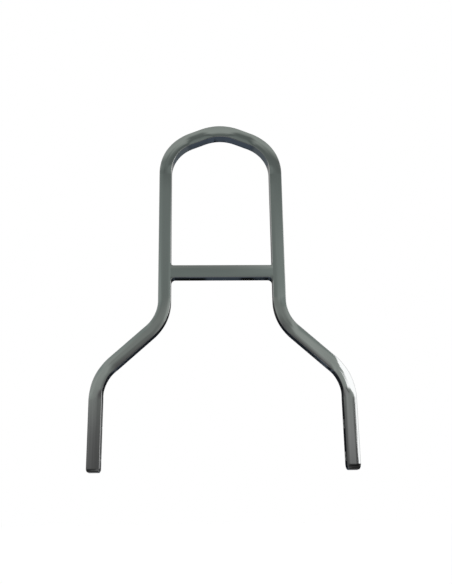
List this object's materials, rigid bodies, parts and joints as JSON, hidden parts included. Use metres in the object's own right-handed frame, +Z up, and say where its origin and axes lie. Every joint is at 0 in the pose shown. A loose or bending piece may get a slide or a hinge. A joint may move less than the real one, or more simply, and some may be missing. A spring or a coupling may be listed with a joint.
{
  "type": "sissy bar",
  "caption": "Chromed square-bar passenger upright for a motorcycle: a hoop with a peaked arch that spreads to drilled legs, with a crossbar welded across it.",
  "frame": {"origin": "midway between the two leg ends, on the plane that the leg ends stand on and on the middle plane of the bar", "axes": "+Z up along the uprights to the peak of the arch, +X to the right seen from the front, +Y from the front face to the back face"},
  "size_m": [0.256, 0.0136, 0.357],
  "materials": {
    "chrome": "polished"
  },
  "bodies": {
    "root": {"hoop": "chrome", "cross_bar": "chrome", "left_weld": "chrome", "right_weld": "chrome"}
  },
  "joints": []
}
